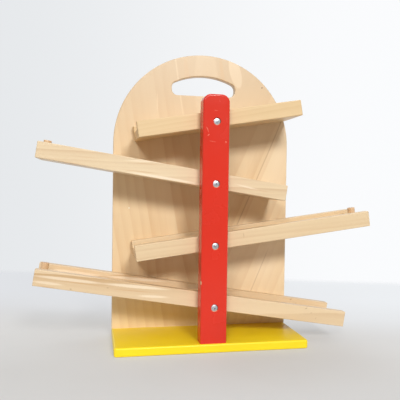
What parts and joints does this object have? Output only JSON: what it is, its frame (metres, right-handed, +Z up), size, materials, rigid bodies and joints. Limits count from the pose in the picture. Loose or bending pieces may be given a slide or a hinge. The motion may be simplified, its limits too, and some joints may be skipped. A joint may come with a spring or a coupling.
{
  "type": "zig-zag toy car ramp",
  "caption": "Wooden zig-zag run for small toy cars: sloping channelled boards fixed between a round-topped back panel with a hand slot and a slim front post, on a flat base.",
  "frame": {"origin": "centre of the base board's underside, which rests on the floor or table", "axes": "+Z up, +X to the right as seen from the front, +Y from the front post to the back panel"},
  "size_m": [0.3914, 0.09, 0.346],
  "materials": {
    "panel_wood": "clear satin lacquer",
    "ramp_wood": "sanded, thin clear lacquer",
    "peg_wood": "sanded dowel",
    "yellow_paint": "gloss paint on wood",
    "red_paint": "gloss paint on wood",
    "screw_steel": "bright zinc plate"
  },
  "bodies": {
    "root": {"base_board": "yellow_paint", "back_panel": "panel_wood", "front_post": "red_paint", "top_ramp": "ramp_wood", "top_ramp_post_screw": "screw_steel", "top_ramp_rear_screws": "screw_steel", "upper_ramp": "ramp_wood", "upper_ramp_stop_peg": "peg_wood", "upper_ramp_post_screw": "screw_steel", "upper_ramp_rear_screws": "screw_steel", "lower_ramp": "ramp_wood", "lower_ramp_stop_peg": "peg_wood", "lower_ramp_post_screw": "screw_steel", "lower_ramp_rear_screws": "screw_steel", "bottom_ramp": "ramp_wood", "bottom_ramp_stop_peg": "peg_wood", "bottom_ramp_post_screw": "screw_steel", "bottom_ramp_rear_screws": "screw_steel", "panel_foot_screws": "screw_steel", "post_foot_screw": "screw_steel"}
  },
  "joints": []
}
